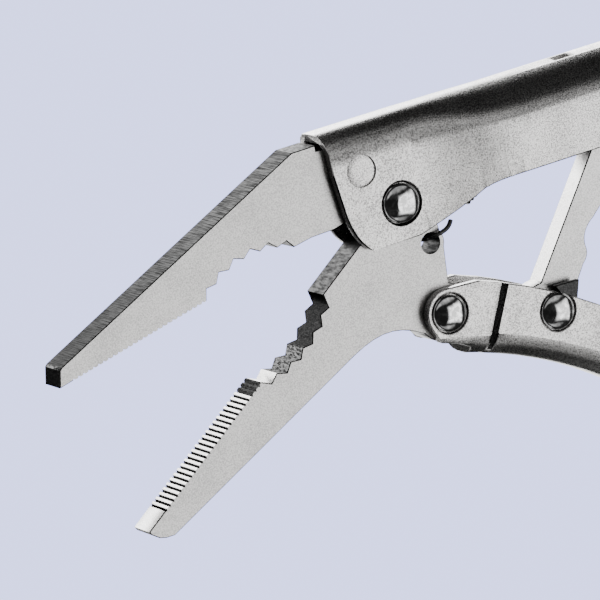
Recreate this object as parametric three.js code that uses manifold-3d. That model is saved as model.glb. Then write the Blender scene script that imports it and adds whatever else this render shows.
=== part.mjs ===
// Long-nose locking pliers, lying flat, jaws open and handles spread.
// Millimetres. X runs back along the fixed handle, Y points from the lower
// handle to the fixed one, Z is the thickness of the tool.
// The design is drawn about the jaw pivot, and the finished group is then
// moved so that its origin is the middle of the bottom of its box.

import * as THREE from 'three';
import { mergeVertices } from 'three/addons/utils/BufferGeometryUtils.js';
import Module from 'manifold-3d';

const wasm = await Module();
wasm.setup();

// ---------------------------------------------------------------- driving sizes

const GAP = 0.3;                    // room left between neighbouring pieces

const JAW_THICKNESS = 5.8;
const SHEET = 1.6;                  // folded steel sheet of both handles
const FRONT_BEND = 1.7;             // inside radius of the folds beside the jaw
const LOWER_BEND = 2.2;             // inside radius of the lower handle's folds

// jaws: each is drawn in a frame of its own, pivot at 0, tip at -X, along its grip line
const FIXED_JAW_ANGLE = 12.35;      // grip line of the fixed jaw to the fixed handle, degrees
const LOWER_JAW_ANGLE = 35.3;       // the same for the lower jaw, standing open
const FIXED_JAW_REACH = 67.9;       // pivot to tip
const LOWER_JAW_REACH = 69.7;
const FIXED_GRIP_LEVEL = 2.3;       // grip line above the pivot
const LOWER_GRIP_LEVEL = 0;
const FINE_PITCH = 1.0;             // fine teeth of the nose
const FINE_DEPTH = 0.35;
const FINE_LAND = 0.5;              // flat top of a fine tooth
const BITE_FRONT = 38.35;           // pipe bite: from here ...
const BITE_BACK = 20.25;            // ... to here, ahead of the pivot
const BITE_TEETH = 6;               // gaps between its seven tooth points
const FIXED_BITE_DEPTH = 2.85;
const LOWER_BITE_DEPTH = 2.3;
const BITE_TOOTH_DEPTH = 1.05;
const PIVOT_BOSS_RADIUS = 6.0;      // round end of the lower jaw at the pivot
const TAIL_RADIUS = 5.1;            // round tail of the lower jaw
const TAIL_ROOM = 0.8;              // tail to the web of the lower handle, past its bends

// pins and rivets
const PIVOT_SHANK_RADIUS = 2.75;
const PIVOT_HEAD_RADIUS = 3.4;
const LINK_SHANK_RADIUS = 2.4;
const LINK_HEAD_RADIUS = 3.2;
const LEVER_SHANK_RADIUS = 1.6;
const LEVER_HEAD_RADIUS = 2.3;
const HEAD_HEIGHT = 1.1;            // crown of a rivet head above the sheet
const JAW_PIN_RADIUS = 2.5;

// fixed handle
const RIDGE = 15.0;                 // top of the fold above the pivot
const FRONT_EDGE = -11.5;           // front edge of its cheeks
const HANDLE_END = 81;              // end of the rolled collar
const COLLAR_LENGTH = 13;
const FLARE_START = 4;              // where the cheeks begin to spread ...
const FLARE_END = 23;               // ... and where the full grip width is reached
const CHEEK_BOTTOM = -0.9;          // lower edge of the cheeks along the grip

// linkage, standing open
const HANDLE_PIVOT = [4.8, -20.8];  // lower handle on the lower jaw
const LINK_PIVOT_AT = 0.245;        // link on the lower handle: share of its length ...
const LINK_PIVOT_HEIGHT = 2.79;     // ... and height above the middle of its side
const LINK_LENGTH = 45.8;           // link pivot to the middle of its nose
const SPINDLE_AXIS = 7.7;           // height of nose and spindle above the jaw pivot
const LINK_THICKNESS = 4.0;
const LINK_BOSS_RADIUS = 4.6;
const NOSE_RADIUS = 3.8;
const NOSE_GAP = 2.4;               // nose to spindle, standing open

// lower handle
const GRIP_STEP = 1.2;              // the grip is this much wider each side than the ears
const LOWER_HANDLE_LENGTH = 81;     // from its front rivet to its end, measured straight
const CHANNEL_HEIGHT = 13.0;        // of its side, at the front ...
const CHANNEL_END_HEIGHT = 11.2;    // ... and at the end
const EAR_RADIUS = 4.3;
const EAR_SHARE = 0.105;            // share of the length where the ears end ...
const STEP_SHARE = 0.008;           // ... and that the step out to the grip takes
const STEP_LEAN = 6;                // degrees that the step leans back towards the open side

// release lever
const LEVER_SHEET = 1.2;
const LEVER_PIVOT_AT = 0.50;        // along the lower handle, 0 at its front, 1 at its end
const LEVER_PIVOT_HEIGHT = 1.0;     // above the middle of the channel

// adjusting spindle and knob
const SPINDLE_RADIUS = 3.9;
const KNOB_RADIUS = 6.2;
const KNOB_LENGTH = 16.4;
const KNOB_GAP = 0.8;               // knob to collar, screwed right in
const KNOB_FLUTES = 20;
const FLUTE_DEPTH = 0.45;

// spring
const SPRING_RADIUS = 2.4;          // outside of the coil
const WIRE = 0.8;
const SPRING_EYE = [4.8, -8.6];     // hole in the lower jaw
const SPRING_EYE_RADIUS = 1.9;
const EYE_LOBE_RADIUS = 2.7;
const TONGUE_AHEAD = 10.6;          // lanced tongue under the ridge, ahead of the link's nose
const TONGUE_WIDTH = 2.6;
const TONGUE_THICKNESS = 1.2;
const TONGUE_DEPTH = 4.2;
const TONGUE_HOLE_RADIUS = 1.0;
const SLOT_LENGTH = 4.0;            // slot that the tongue is lanced from

// ---------------------------------------------------------------- values that follow

const radians = THREE.MathUtils.degToRad;
const HALF_JAW = JAW_THICKNESS / 2;
const INSIDE = HALF_JAW + GAP;                  // cheeks, measured from the middle
const OUTSIDE = INSIDE + SHEET;

// the middle line of the lower handle's side, from below its front rivet to its end:
// shares of its length, back from the rivet and down
const LINE_DROP = TAIL_RADIUS + TAIL_ROOM + SHEET - CHANNEL_HEIGHT / 2;
const lowerLine = new THREE.CubicBezierCurve(...[
  [0, 0], [0.3235, 0.0716], [0.5951, 0.3420], [0.8296, 0.5765],
].map(([back, down]) => new THREE.Vector2(
  HANDLE_PIVOT[0] + back * LOWER_HANDLE_LENGTH,
  HANDLE_PIVOT[1] - LINE_DROP - down * LOWER_HANDLE_LENGTH)));

// a point beside the lower handle's middle line; height is up, towards the fixed handle
function besideLowerLine(share, height) {
  const inLine = Math.min(Math.max(share, 0), 1);
  const at = lowerLine.getPoint(inLine);
  const along = lowerLine.getTangent(inLine);
  const beyond = (share - inLine) * lowerLine.getLength();
  return [
    at.x + along.x * beyond - along.y * height,
    at.y + along.y * beyond + along.x * height,
  ];
}

const LINK_PIVOT = besideLowerLine(LINK_PIVOT_AT, LINK_PIVOT_HEIGHT);
const LEVER_PIVOT = besideLowerLine(LEVER_PIVOT_AT, LEVER_PIVOT_HEIGHT);
const LINK_ANGLE = Math.asin((SPINDLE_AXIS - LINK_PIVOT[1]) / LINK_LENGTH);
const NOSE = [LINK_PIVOT[0] + LINK_LENGTH * Math.cos(LINK_ANGLE), SPINDLE_AXIS];
const TONGUE_AT = NOSE[0] - NOSE_RADIUS - TONGUE_AHEAD;
const GRIP_RADIUS = RIDGE - SPINDLE_AXIS;       // full-round back of the fixed handle
const GRIP_INSIDE = GRIP_RADIUS - SHEET;
const SPINDLE_TIP = NOSE[0] + NOSE_RADIUS + NOSE_GAP;
const SPINDLE_HOLE = SPINDLE_RADIUS + GAP;
const KNOB_START = HANDLE_END + KNOB_GAP;
const KNOB_END = KNOB_START + KNOB_LENGTH;
const FOLD_TOP = RIDGE - SHEET;                 // inside of the fixed handle's fold
const TANG_TOP = FOLD_TOP - FRONT_BEND / 2;     // jaw tang, clear of the bends
const LOWER_INSIDE = INSIDE + GRIP_STEP;        // cheeks of the lower grip
const LOWER_OUTSIDE = LOWER_INSIDE + SHEET;
const JAW_PIN_AT = [-6.2, 7.4];

// ---------------------------------------------------------------- materials

const zinc = (color, roughness = 0.38) =>
  new THREE.MeshStandardMaterial({ color, metalness: 0.9, roughness });
const HANDLE_ZINC = zinc(0xc2c1bf);
const JAW_STEEL = zinc(0xcfceca, 0.45);
const LINK_STEEL = zinc(0xc9c8c4, 0.42);
const RIVET_STEEL = zinc(0x55565a, 0.15);
const SPINDLE_STEEL = zinc(0xb4b3b0, 0.35);
const DARK_STEEL = zinc(0x33342f, 0.5);
const SPRING_STEEL = zinc(0x1b1b1c, 0.35);

// ---------------------------------------------------------------- solids

function solid(geometry) {
  const bare = geometry.clone();
  bare.deleteAttribute('normal');
  bare.deleteAttribute('uv');
  const merged = mergeVertices(bare, 1e-4);
  return new wasm.Manifold(new wasm.Mesh({
    numProp: 3,
    vertProperties: Float32Array.from(merged.attributes.position.array),
    triVerts: Uint32Array.from(merged.index.array),
  }));
}

function surface(body) {
  const mesh = body.getMesh();
  const geometry = new THREE.BufferGeometry();
  geometry.setAttribute('position', new THREE.BufferAttribute(mesh.vertProperties, 3));
  geometry.setIndex(new THREE.BufferAttribute(mesh.triVerts, 1));
  const faceted = geometry.toNonIndexed();
  faceted.computeVertexNormals();
  return faceted;
}

function part(name, body, material) {
  const mesh = new THREE.Mesh(surface(body), material);
  mesh.name = name;
  return mesh;
}

// a flat outline in X and Y, made thick from z = low to z = high
function plate(shape, low, high, curveSegments = 10) {
  const options = { depth: high - low, bevelEnabled: false, curveSegments };
  return solid(new THREE.ExtrudeGeometry(shape, options).translate(0, 0, low));
}

// a round bar along Z
function bar([x, y], radius, low, high, sides = 28) {
  const cylinder = new THREE.CylinderGeometry(radius, radius, high - low, sides);
  return solid(cylinder.rotateX(Math.PI / 2).translate(x, y, (low + high) / 2));
}

function block(low, high) {
  const size = new THREE.Vector3(...high).sub(new THREE.Vector3(...low));
  const box = new THREE.BoxGeometry(size.x, size.y, size.z);
  return solid(box.translate(low[0] + size.x / 2, low[1] + size.y / 2, low[2] + size.z / 2));
}

// a profile of [distance along X, radius] turned about the spindle axis
function turnedAlongX(profile, sides = 28) {
  const points = profile.map(([along, radius]) => new THREE.Vector2(radius, along));
  const lathe = new THREE.LatheGeometry(points, sides);
  return solid(lathe.rotateZ(-Math.PI / 2).translate(0, SPINDLE_AXIS, 0));
}

function shapeOf(points) {
  return new THREE.Shape(points.map(([x, y]) => new THREE.Vector2(x, y)));
}

// points of a jaw's own frame, turned into the frame of the handle
function turned(points, degrees) {
  const angle = radians(degrees);
  return points.map(([x, y]) => [
    x * Math.cos(angle) - y * Math.sin(angle),
    x * Math.sin(angle) + y * Math.cos(angle),
  ]);
}

function arc([x, y], radius, from, to, count) {
  return Array.from({ length: count + 1 }, (_, i) => {
    const angle = radians(from + (to - from) * i / count);
    return [x + radius * Math.cos(angle), y + radius * Math.sin(angle)];
  });
}

function smoothStep(value, start, end) {
  return THREE.MathUtils.smoothstep(value, start, end);
}

// ---------------------------------------------------------------- rivets

// a rivet along Z with a crowned head on each side, standing in a round seat in the sheet
function rivet([x, y], shank, head, outside) {
  const seat = outside - SHEET / 4;
  const half = [
    [shank, seat], [head, seat], [head, outside + HEAD_HEIGHT * 0.25],
    [head * 0.86, outside + HEAD_HEIGHT * 0.62], [head * 0.5, outside + HEAD_HEIGHT * 0.93],
    [0, outside + HEAD_HEIGHT],
  ];
  const below = half.map(([radius, z]) => [radius, -z]).reverse();
  const points = [...below, ...half].map(([radius, z]) => new THREE.Vector2(radius, z));
  const lathe = new THREE.LatheGeometry(points, 24);
  return solid(lathe.rotateX(Math.PI / 2).translate(x, y, 0));
}

// the hole for a rivet, with a round seat for its head in each outer face
function rivetHole(at, shank, head, outside) {
  const floor = outside - SHEET / 4 - GAP;
  const beyond = outside + HEAD_HEIGHT;
  return bar(at, shank + GAP, -beyond, beyond)
    .add(bar(at, head + GAP, floor, beyond))
    .add(bar(at, head + GAP, -beyond, -floor));
}

// ---------------------------------------------------------------- jaws

// the working edge of a jaw from its tip to the back of the bite;
// into is +1 where the steel lies above the edge, -1 where it lies below
function grippingEdge({ reach, level, smoothTip, biteDepth, heel, into }) {
  const edge = [[-reach, level]];
  const count = Math.floor((reach - smoothTip - BITE_FRONT) / FINE_PITCH);
  const first = BITE_FRONT + count * FINE_PITCH;
  for (let i = 0; i < count; i++) {
    const x = -first + i * FINE_PITCH;
    edge.push([x, level]);
    edge.push([x + (FINE_PITCH - FINE_LAND) / 2, level + into * FINE_DEPTH]);
    edge.push([x + FINE_PITCH - FINE_LAND, level]);
  }
  const half = (BITE_FRONT - BITE_BACK) / 2;
  const radius = (half * half + biteDepth * biteDepth) / (2 * biteDepth);
  const spread = Math.asin(half / radius);
  const centre = [-(BITE_FRONT + BITE_BACK) / 2, level + into * (biteDepth - radius)];
  for (let i = 0; i <= 2 * BITE_TEETH; i++) {
    const angle = -spread + spread * i / BITE_TEETH;
    const reachOut = radius + (i % 2) * BITE_TOOTH_DEPTH;
    edge.push([
      centre[0] + reachOut * Math.sin(angle),
      centre[1] + into * reachOut * Math.cos(angle),
    ]);
  }
  edge[edge.length - 1] = [-BITE_BACK, level + heel];
  return edge;
}

function fixedJaw() {
  const edge = grippingEdge({
    reach: FIXED_JAW_REACH, level: FIXED_GRIP_LEVEL, smoothTip: 1.8,
    biteDepth: FIXED_BITE_DEPTH, heel: 0.15, into: 1,
  });
  const underCheek = [[-16.7, 2.3], [-12.4, 1.5]];
  const below = turned([...edge, ...underCheek], FIXED_JAW_ANGLE);
  const aroundPivot = arc([0, 0], PIVOT_BOSS_RADIUS + 0.5, 179, 62, 8);
  const behind = [[4.8, 8.2], [5.6, TANG_TOP]];
  const front = FRONT_EDGE - 1.3;
  const above = [[front, TANG_TOP], [front, FOLD_TOP + 0.1]];
  const tip = turned([
    [-14.0, 16.85], [1.7 - FIXED_JAW_REACH, 5.25], [1.2 - FIXED_JAW_REACH, 4.95],
  ], FIXED_JAW_ANGLE);
  const outline = shapeOf([...below, ...aroundPivot, ...behind, ...above, ...tip]);
  const body = plate(outline, -HALF_JAW, HALF_JAW);
  return body.subtract(bar(JAW_PIN_AT, JAW_PIN_RADIUS + GAP, -OUTSIDE, OUTSIDE));
}

function lowerJaw() {
  const edge = grippingEdge({
    reach: LOWER_JAW_REACH, level: LOWER_GRIP_LEVEL, smoothTip: 3.4,
    biteDepth: LOWER_BITE_DEPTH, heel: 0.6, into: -1,
  });
  const [eye, tail] = turned([SPRING_EYE, HANDLE_PIVOT], -LOWER_JAW_ANGLE);
  const pivotEnd = arc([0, 0], PIVOT_BOSS_RADIUS, 174, -30, 16);
  const eyeLobe = arc(eye, EYE_LOBE_RADIUS, 0, -62, 4);
  const tailEnd = arc(tail, TAIL_RADIUS, 33, -180, 14);
  const inner = new THREE.CubicBezierCurve(
    new THREE.Vector2(tail[0] - TAIL_RADIUS, tail[1] + 0.6), new THREE.Vector2(-15.8, -13.2),
    new THREE.Vector2(-19.5, -11.6), new THREE.Vector2(-27, -10.6));
  const neck = inner.getPoints(8).map((point) => [point.x, point.y]);
  const back = [[8.3 - LOWER_JAW_REACH, -5.1], [2.5 - LOWER_JAW_REACH, -4.15]];
  const tip = [[1.2, -3.2], [0.4, -2.2], [-0.1, -0.7]].map(([x, y]) => [x - LOWER_JAW_REACH, y]);
  const points = [...edge, ...pivotEnd, ...eyeLobe, ...tailEnd, ...neck, ...back, ...tip];
  const outline = shapeOf(turned(points, LOWER_JAW_ANGLE));
  return plate(outline, -HALF_JAW, HALF_JAW)
    .subtract(bar([0, 0], PIVOT_SHANK_RADIUS + GAP, -OUTSIDE, OUTSIDE))
    .subtract(bar(HANDLE_PIVOT, LINK_SHANK_RADIUS + GAP, -OUTSIDE, OUTSIDE))
    .subtract(bar(SPRING_EYE, SPRING_EYE_RADIUS, -OUTSIDE, OUTSIDE));
}

// ---------------------------------------------------------------- folded sheet

// A sheet folded to a channel. It is drawn straight, as an extruded U of unit
// size with one step for each station along it, and each corner is then moved:
// place(station) gives the fold there, and map(station, height, side) puts the
// point in space.
// The fold has a flat top between two bends; a bend as wide as the channel
// makes the top full round.
function foldedSheet({ stations, place, map }) {
  const crown = 10;
  const outer = arc([0, 0], 2, 0, 180, crown);
  const inner = arc([0, 0], 1, 180, 0, crown);
  const section = [[2, -1], ...outer, [-2, -1], [-1, -1], ...inner, [1, -1]];
  const steps = stations.length - 1;
  const channel = new THREE.ExtrudeGeometry(shapeOf(section), {
    depth: steps, steps, bevelEnabled: false,
  });
  const position = channel.attributes.position;
  for (let i = 0; i < position.count; i++) {
    const across = position.getX(i);
    const up = position.getY(i);
    const station = stations[Math.round(position.getZ(i))];
    const { top, inside, bend, depth } = place(station);
    const wall = Math.hypot(across, Math.max(up, 0)) > 1.5 ? SHEET : 0;
    const base = top - SHEET - bend;
    const fromTop = Math.atan2(Math.abs(across), Math.max(up, 0)) / (Math.PI / 2);
    const flatShare = 0.5 * (1 - bend / inside);
    const onFlat = flatShare > 0 ? Math.min(fromTop / flatShare, 1) : 1;
    const turn = Math.max(0, (fromTop - flatShare) / (1 - flatShare)) * Math.PI / 2;
    const side = (inside - bend) * onFlat + (bend + wall) * Math.sin(turn);
    const height = up < -0.5 ? base - depth : base + (bend + wall) * Math.cos(turn);
    position.setXYZ(i, ...map(station, height, Math.sign(across) * side));
  }
  return solid(channel);
}

// count stations from one place up to, but not including, another
function stationsTo(from, to, count) {
  return Array.from({ length: count }, (_, i) => from + (to - from) * i / count);
}

// ---------------------------------------------------------------- fixed handle

function fixedHandleChannel() {
  const end = HANDLE_END - 1;
  return foldedSheet({
    stations: [
      ...stationsTo(FRONT_EDGE - 1.5, FLARE_START, 2),
      ...stationsTo(FLARE_START, FLARE_END, 14),
      ...stationsTo(FLARE_END, end, 2), end,
    ],
    place: (at) => {
      const flare = smoothStep(at, FLARE_START, FLARE_END);
      return {
        top: RIDGE,
        inside: THREE.MathUtils.lerp(INSIDE, GRIP_INSIDE, flare),
        bend: THREE.MathUtils.lerp(FRONT_BEND, GRIP_INSIDE, flare),
        depth: 18,
      };
    },
    map: (at, height, side) => [at, height, -side],
  });
}

// the outline of the cheeks seen from the side
function fixedHandleSide() {
  const side = new THREE.Shape();
  const collarStart = HANDLE_END - COLLAR_LENGTH;
  side.moveTo(FRONT_EDGE - 1.0, RIDGE + 2);
  side.lineTo(FRONT_EDGE, RIDGE - 3.5);
  side.lineTo(FRONT_EDGE, RIDGE - 7);
  side.lineTo(FRONT_EDGE + 0.9, 0.5);
  side.bezierCurveTo(FRONT_EDGE + 2.0, -5.0, -7.0, -7.3, -3.4, -7.3);
  side.bezierCurveTo(4.0, -6.6, 11.5, -3.6, 15.5, -1.6);
  side.quadraticCurveTo(18, CHEEK_BOTTOM, 22, CHEEK_BOTTOM);
  side.lineTo(collarStart - 7, CHEEK_BOTTOM);
  side.quadraticCurveTo(
    collarStart - 1, CHEEK_BOTTOM, collarStart + 0.5, SPINDLE_AXIS - GRIP_RADIUS / 2);
  side.lineTo(collarStart + 1.5, SPINDLE_AXIS);
  side.lineTo(HANDLE_END + 2, SPINDLE_AXIS);
  side.lineTo(HANDLE_END + 2, RIDGE + 2);
  side.closePath();
  return plate(side, -20, 20, 8);
}

function upperHandle() {
  const collar = turnedAlongX([
    [HANDLE_END - COLLAR_LENGTH, SPINDLE_HOLE],
    [HANDLE_END - COLLAR_LENGTH, GRIP_RADIUS - 0.4],
    [HANDLE_END - 0.8, GRIP_RADIUS - 0.4],
    [HANDLE_END, GRIP_RADIUS - 1.2],
    [HANDLE_END, SPINDLE_HOLE],
    [HANDLE_END - COLLAR_LENGTH, SPINDLE_HOLE],
  ]);
  const tongueTop = RIDGE - SHEET / 2;
  const tongueFront = TONGUE_AT - TONGUE_THICKNESS;
  const tongue = block(
    [tongueFront, RIDGE - SHEET - TONGUE_DEPTH, -TONGUE_WIDTH / 2],
    [TONGUE_AT, tongueTop, TONGUE_WIDTH / 2]);
  const slot = block(
    [tongueFront - SLOT_LENGTH, RIDGE - 2 * SHEET, -TONGUE_WIDTH / 2 - GAP],
    [tongueFront, RIDGE + 1, TONGUE_WIDTH / 2 + GAP]);
  const hookHole = new THREE.CylinderGeometry(TONGUE_HOLE_RADIUS, TONGUE_HOLE_RADIUS, 6, 12);
  hookHole.rotateZ(Math.PI / 2).translate(TONGUE_AT, hookHeight(), 0);
  return fixedHandleChannel()
    .intersect(fixedHandleSide())
    .subtract(slot)
    .add(collar)
    .add(tongue)
    .subtract(solid(hookHole))
    .subtract(rivetHole([0, 0], PIVOT_SHANK_RADIUS, PIVOT_HEAD_RADIUS, OUTSIDE))
    .subtract(bar(JAW_PIN_AT, JAW_PIN_RADIUS + GAP, -OUTSIDE - 1, OUTSIDE + 1));
}

function hookHeight() {
  return RIDGE - SHEET - TONGUE_DEPTH + 2 * TONGUE_HOLE_RADIUS;
}

// ---------------------------------------------------------------- lower handle

// a run of points along the lower handle; above is measured from the edge of its
// channel where side is +1 (the open top) or -1 (the web), and outwards from it
function lowerEdge(from, to, side, above, count) {
  return Array.from({ length: count + 1 }, (_, i) => {
    const share = from + (to - from) * i / count;
    return besideLowerLine(share, side * (channelHalf(share) + above));
  });
}

function channelHalf(share) {
  return THREE.MathUtils.lerp(CHANNEL_HEIGHT, CHANNEL_END_HEIGHT, Math.min(share / 0.4, 1)) / 2;
}

// the step from the ears out to the grip leans back towards the top of the channel
function leanOfStep(share) {
  const nearStep = smoothStep(share, EAR_SHARE - 0.2, EAR_SHARE)
    * (1 - smoothStep(share, EAR_SHARE + STEP_SHARE, EAR_SHARE + 0.3));
  return nearStep * Math.tan(radians(STEP_LEAN)) / lowerLine.getLength();
}

function lowerHandleChannel() {
  const grip = EAR_SHARE + STEP_SHARE;
  return foldedSheet({
    stations: [
      ...stationsTo(-0.1, EAR_SHARE, 6), EAR_SHARE,
      ...stationsTo(grip, grip + 0.2, 5), ...stationsTo(grip + 0.2, 1, 12), 1,
    ],
    place: (share) => {
      const onGrip = share > EAR_SHARE;
      return {
        top: channelHalf(share),
        inside: onGrip ? LOWER_INSIDE : INSIDE,
        bend: onGrip ? LOWER_BEND : FRONT_BEND,
        depth: CHANNEL_HEIGHT,
      };
    },
    map: (share, down, side) => [
      ...besideLowerLine(share - down * leanOfStep(share), -down), side,
    ],
  });
}

function lowerHandle() {
  const topEdge = lowerEdge(0.93, 0.06, 1, 0, 16);
  const ear = arc(HANDLE_PIVOT, EAR_RADIUS, 80, 205, 7);
  const webFront = [[2.2, -25.4], [5.2, -26.3], [7.6, -27.6], [8.0, -31.0]];
  const belowWeb = lowerEdge(0.1, 0.93, -1, 2, 10);
  const roundEnd = [
    besideLowerLine(0.985, -CHANNEL_END_HEIGHT / 2 - 1), besideLowerLine(0.998, -1.5),
    besideLowerLine(0.985, CHANNEL_END_HEIGHT / 2 - 2.5),
  ];
  const outline = shapeOf([...topEdge, ...ear, ...webFront, ...belowWeb, ...roundEnd]);
  return lowerHandleChannel()
    .intersect(plate(outline, -20, 20))
    .subtract(rivetHole(HANDLE_PIVOT, LINK_SHANK_RADIUS, LINK_HEAD_RADIUS, OUTSIDE))
    .subtract(rivetHole(LINK_PIVOT, LINK_SHANK_RADIUS, LINK_HEAD_RADIUS, LOWER_OUTSIDE))
    .subtract(rivetHole(LEVER_PIVOT, LEVER_SHANK_RADIUS, LEVER_HEAD_RADIUS, LOWER_OUTSIDE));
}

// ---------------------------------------------------------------- link and lever

// the link, drawn along X from its pivot and then turned to meet the spindle
function toggleLink() {
  const link = new THREE.Shape();
  link.moveTo(3.7, 2.8);
  link.absarc(0, 0, LINK_BOSS_RADIUS, radians(42), radians(297), false);
  link.lineTo(9.9, -3.0);
  link.quadraticCurveTo(11.95, -3.3, 12.9, -1.8);
  link.quadraticCurveTo(14.7, 0.15, 17.9, -0.8);
  link.absarc(LINK_LENGTH, 0, NOSE_RADIUS, -1.9, 1.5, false);
  link.lineTo(LINK_LENGTH * 0.61, 5.4);
  link.closePath();
  const half = LINK_THICKNESS / 2;
  return plate(link, -half, half)
    .subtract(bar([0, 0], LINK_SHANK_RADIUS + GAP, -half - 1, half + 1))
    .rotate([0, 0, THREE.MathUtils.radToDeg(LINK_ANGLE)])
    .translate([...LINK_PIVOT, 0]);
}

// the release lever: two thin cheeks beside the link, joined by a web behind it
function releaseLever() {
  const high = LOWER_INSIDE - GAP;
  const low = high - LEVER_SHEET;
  const padTop = [
    besideLowerLine(0.80, CHANNEL_END_HEIGHT / 2 + 2.2),
    besideLowerLine(0.93, CHANNEL_END_HEIGHT / 2 + 4.6),
    besideLowerLine(0.97, CHANNEL_END_HEIGHT / 2 + 3.6),
  ];
  const leverNose = [
    [0.335, 2.2], [0.3145, 3.2], [0.2716, 4.91], [0.2392, 6.81], [0.2889, 8.96],
    [0.297, 5.6], [0.335, 4.7],
  ].map(([share, height]) => besideLowerLine(share, height));
  const cheek = shapeOf([
    ...lowerEdge(0.42, 0.72, 1, -0.9, 5), ...padTop,
    besideLowerLine(0.95, CHANNEL_END_HEIGHT / 2 + 0.6),
    ...lowerEdge(0.80, 0.42, 1, 1 - CHANNEL_END_HEIGHT * 0.6, 6),
    ...leverNose,
  ]);
  const web = shapeOf([
    ...lowerEdge(0.44, 0.72, 1, -0.9, 5), ...padTop,
    besideLowerLine(0.93, CHANNEL_END_HEIGHT / 2 + 3.0),
    besideLowerLine(0.80, CHANNEL_END_HEIGHT / 2 + 0.6),
    ...lowerEdge(0.72, 0.44, 1, -0.9 - LEVER_SHEET, 5),
  ]);
  return plate(cheek, low, high)
    .add(plate(cheek, -high, -low))
    .add(plate(web, -high + 0.1, high - 0.1))
    .subtract(bar(LEVER_PIVOT, LEVER_SHANK_RADIUS + GAP, -LOWER_OUTSIDE, LOWER_OUTSIDE));
}

// ---------------------------------------------------------------- spindle and knob

function adjustingSpindle() {
  return turnedAlongX([
    [SPINDLE_TIP + 1.0, 0], [SPINDLE_TIP, 1.8], [SPINDLE_TIP, SPINDLE_RADIUS - 1.0],
    [SPINDLE_TIP + 1.0, SPINDLE_RADIUS], [KNOB_END - 1.5, SPINDLE_RADIUS],
    [KNOB_END - 1.5, 0],
  ], 24);
}

function adjustingKnob() {
  const flutes = [];
  for (let i = 0; i < KNOB_FLUTES * 4; i++) {
    const angle = 2 * Math.PI * i / (KNOB_FLUTES * 4);
    const radius = KNOB_RADIUS - (i % 4 > 1 ? FLUTE_DEPTH : 0);
    flutes.push([radius * Math.cos(angle), radius * Math.sin(angle)]);
  }
  const fluted = new THREE.ExtrudeGeometry(shapeOf(flutes), {
    depth: KNOB_LENGTH, bevelEnabled: false,
  });
  fluted.rotateY(Math.PI / 2).translate(KNOB_START, SPINDLE_AXIS, 0);
  const turnedBody = turnedAlongX([
    [KNOB_START, 0], [KNOB_START, KNOB_RADIUS - 1.2], [KNOB_START + 1.2, KNOB_RADIUS + 0.1],
    [KNOB_END - 1.6, KNOB_RADIUS + 0.1], [KNOB_END, KNOB_RADIUS - 1.6], [KNOB_END, 0],
  ], 40);
  const bore = turnedAlongX([
    [KNOB_START - 1, 0], [KNOB_START - 1, SPINDLE_HOLE], [KNOB_END - 1.2, SPINDLE_HOLE],
    [KNOB_END - 1.2, 0],
  ], 24);
  return solid(fluted).intersect(turnedBody).subtract(bore);
}

// ---------------------------------------------------------------- spring

// a round wire through points chosen by hand
function wire(points, steps) {
  const path = new THREE.CatmullRomCurve3(points.map((point) => new THREE.Vector3(...point)));
  const round = new THREE.Shape().absarc(0, 0, WIRE / 2, 0, 2 * Math.PI, false);
  return solid(new THREE.ExtrudeGeometry(round, { extrudePath: path, steps, curveSegments: 4 }));
}

// the coil is a plain bar of its outside size, with a wire hook at each end
function tensionSpring() {
  const front = new THREE.Vector3(13.3, -3.0, 0);
  const back = new THREE.Vector3(TONGUE_AT - 6.0, hookHeight() - 2.6, 0);
  const coilLine = back.clone().sub(front);
  const coil = new THREE.CylinderGeometry(SPRING_RADIUS, SPRING_RADIUS, coilLine.length(), 14);
  coil.translate(0, coilLine.length() / 2, 0);
  coil.rotateZ(Math.atan2(coilLine.y, coilLine.x) - Math.PI / 2);
  coil.translate(front.x, front.y, 0);
  const near = HALF_JAW + WIRE;
  const frontHook = wire([
    [13.6, -3.0, -1.6], [10.4, -5.0, -HALF_JAW], [7.4, -7.2, -near], [5.6, -8.2, 0.3 - near],
    [4.6, -8.2, -1.8], [4.3, -8.0, 0.6], [4.3, -7.6, near - 0.9], [5.2, -7.35, near],
    [7.0, -7.2, near + 0.2], [8.6, -6.6, near - 0.1], [9.1, -5.9, near - 0.5],
  ], 30);
  const high = hookHeight();
  const backHook = wire([
    [TONGUE_AT - 7.0, high - 3.2, 0], [TONGUE_AT - 4.4, high - 1.2, 0],
    [TONGUE_AT - 2.2, high, 0], [TONGUE_AT + 0.8, high + 0.1, 0], [TONGUE_AT + 1.6, high - 0.7, 0],
  ], 12);
  return solid(coil).add(frontHook).add(backHook);
}

// ---------------------------------------------------------------- assembly

function jawPin() {
  return bar(JAW_PIN_AT, JAW_PIN_RADIUS, -OUTSIDE + 0.3, OUTSIDE - 0.3, 24);
}

const pivotRivet = rivet([0, 0], PIVOT_SHANK_RADIUS, PIVOT_HEAD_RADIUS, OUTSIDE);
const handleRivet = rivet(HANDLE_PIVOT, LINK_SHANK_RADIUS, LINK_HEAD_RADIUS, OUTSIDE);
const linkRivet = rivet(LINK_PIVOT, LINK_SHANK_RADIUS, LINK_HEAD_RADIUS, LOWER_OUTSIDE);
const leverRivet = rivet(LEVER_PIVOT, LEVER_SHANK_RADIUS, LEVER_HEAD_RADIUS, LOWER_OUTSIDE);

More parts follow.
